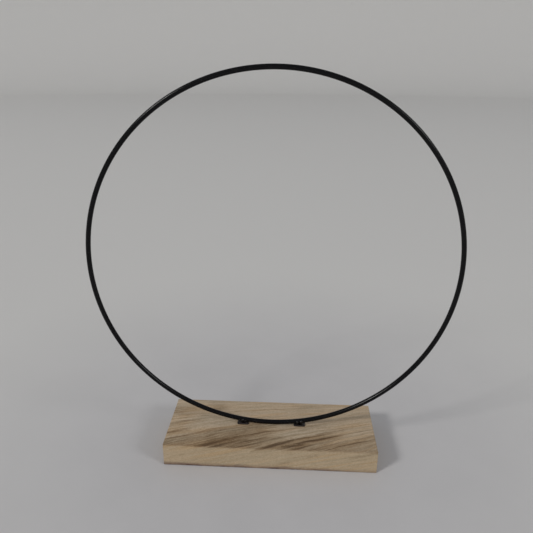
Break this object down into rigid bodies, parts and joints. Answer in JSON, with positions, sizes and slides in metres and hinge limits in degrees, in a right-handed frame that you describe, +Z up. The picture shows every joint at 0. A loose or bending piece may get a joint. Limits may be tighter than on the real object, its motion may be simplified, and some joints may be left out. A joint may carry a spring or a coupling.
{
  "type": "wreath frame",
  "caption": "Black wire ring fixed upright on a small rectangular block of bare wood, for carrying a wreath or hanging decoration.",
  "frame": {"origin": "centre of the wooden block's underside, on the surface that it stands on", "axes": "+Z up through the ring, +X to the right along the block's length in the plane of the ring, +Y to the back, so the front faces -Y"},
  "size_m": [0.3, 0.066, 0.3208],
  "materials": {
    "bare_wood": "unfinished, sanded, open grain",
    "black_coating": "gloss",
    "zinc_plate": "zinc plated"
  },
  "bodies": {
    "root": {"base_block": "bare_wood", "ring_wire": "black_coating", "foot_plate_left": "black_coating", "foot_plate_right": "black_coating", "weld_left": "black_coating", "weld_right": "black_coating", "stud_left": "zinc_plate", "stud_right": "zinc_plate", "washer_left": "zinc_plate", "washer_right": "zinc_plate", "nut_left": "zinc_plate", "nut_right": "zinc_plate"}
  },
  "joints": []
}
